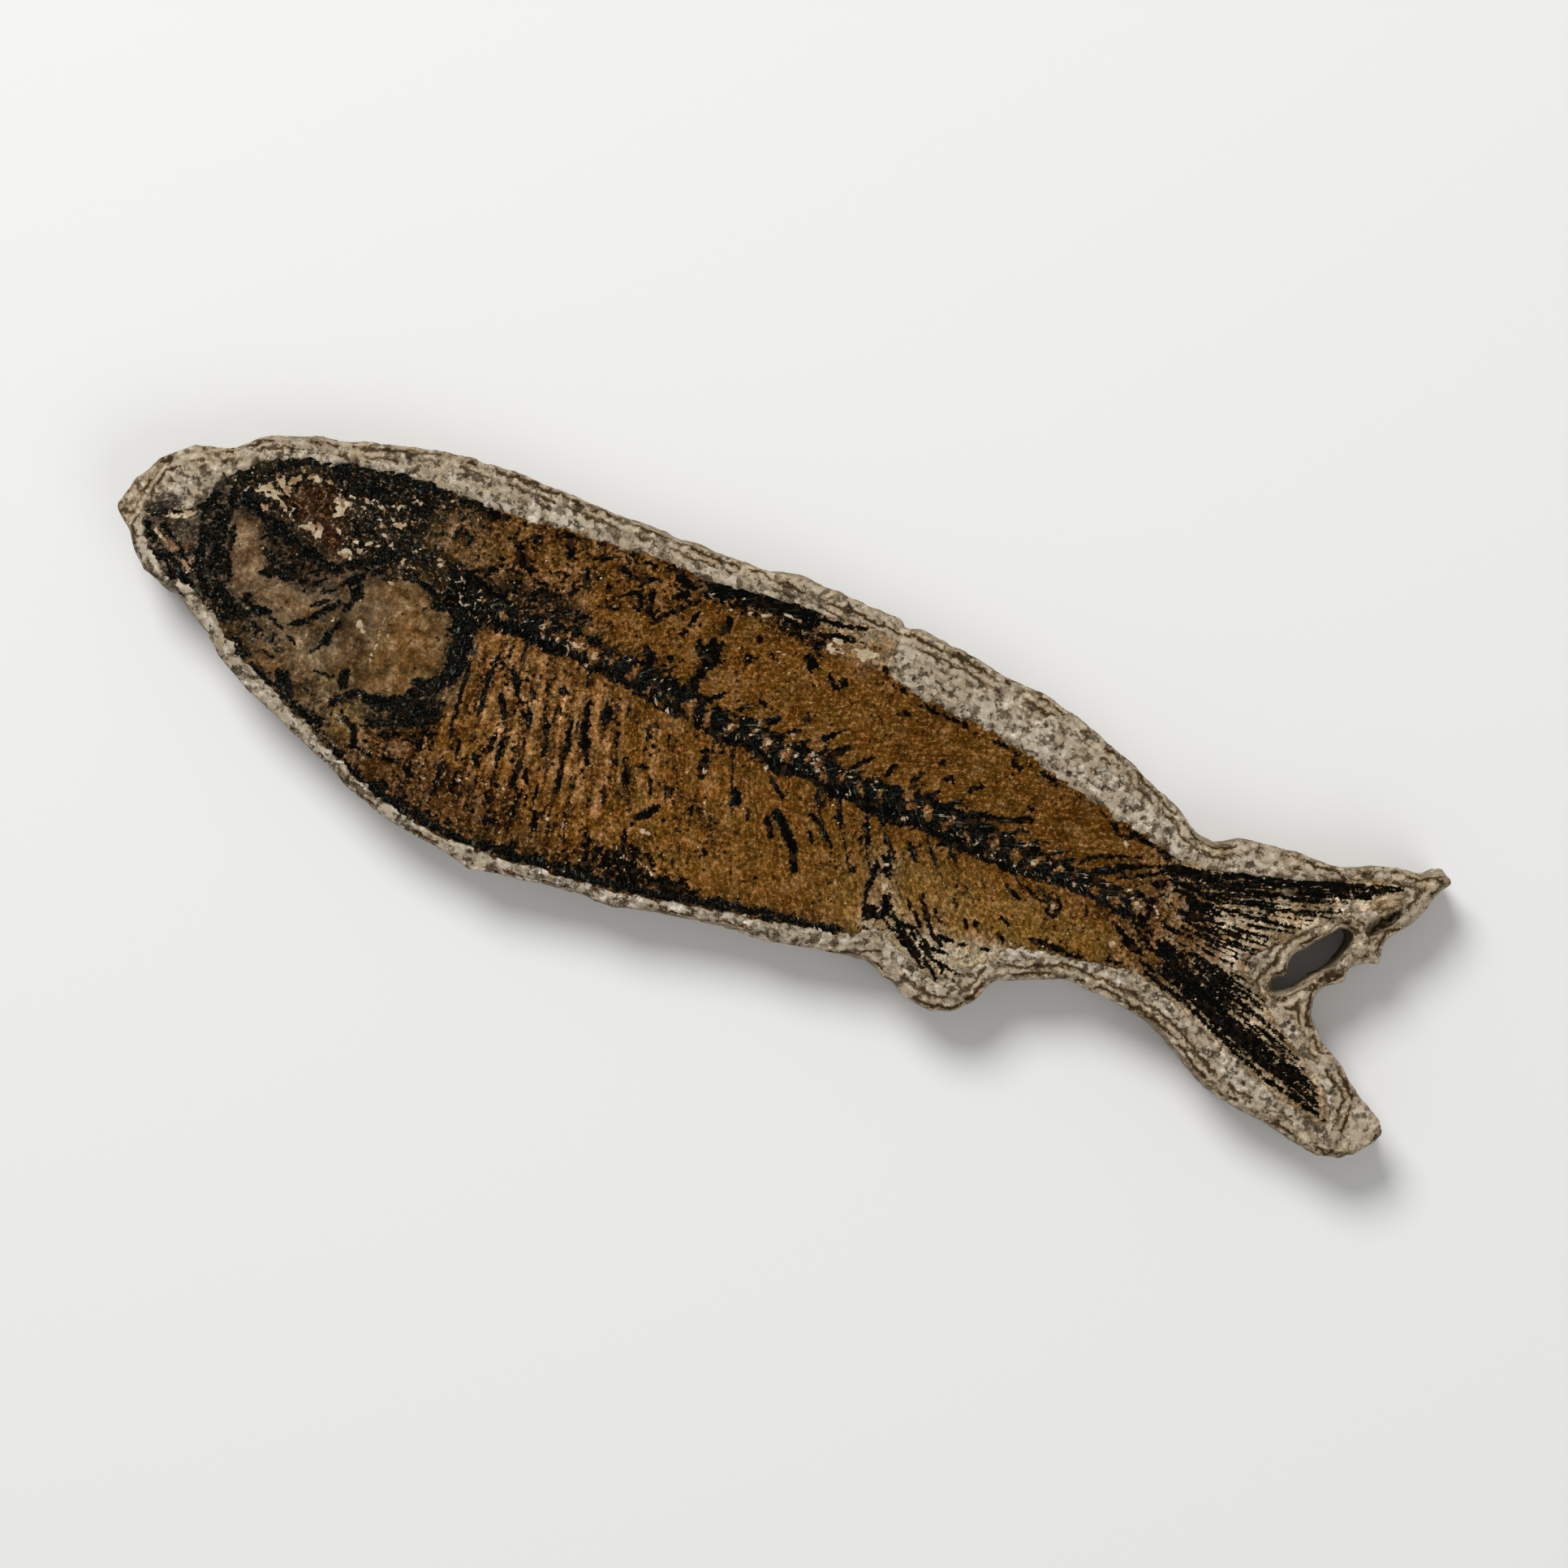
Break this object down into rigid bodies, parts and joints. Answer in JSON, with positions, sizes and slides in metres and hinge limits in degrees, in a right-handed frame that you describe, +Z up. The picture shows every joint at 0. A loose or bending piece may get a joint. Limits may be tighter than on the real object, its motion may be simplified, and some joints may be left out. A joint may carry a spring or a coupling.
{
  "type": "fossil fish in a limestone matrix",
  "caption": "Fossil herring-like fish seen from its side, bedded in a thin cut-out piece of pale limestone that follows its outline, lying flat.",
  "frame": {"origin": "on the flat underside of the stone, at the middle of the part's box", "axes": "+X along the fish from the snout to the tail, +Y from the belly to the back, +Z up out of the stone"},
  "size_m": [0.1305, 0.0366, 0.0087],
  "materials": {
    "limestone": "pale laminated limestone, matt, with tan stains and fine cracks",
    "skin_film": "brown carbonised skin film, satin, finely scaled",
    "black_bone": "black fossil bone, broken and slightly glossy",
    "rusty_eye": "rusty brown film with cream calcite flecks",
    "olive_bone": "olive tan fossil bone, satin",
    "brown_bone": "dark brown fossil bone, satin",
    "fin_rays": "dark brown to black fin rays, satin"
  },
  "bodies": {
    "root": {"stone_matrix": "limestone", "body_skin": "skin_film", "skull": "black_bone", "eye": "rusty_eye", "cheek": "olive_bone", "upper_jaw": "black_bone", "lower_jaw": "brown_bone", "gill_cover": "olive_bone", "throat": "brown_bone", "shoulder_girdle": "black_bone", "backbone": "black_bone", "pectoral_fin": "fin_rays", "dorsal_fin": "fin_rays", "anal_fin": "fin_rays", "tail_fin_upper": "fin_rays", "tail_fin_lower": "fin_rays", "belly_scutes": "black_bone"}
  },
  "joints": []
}
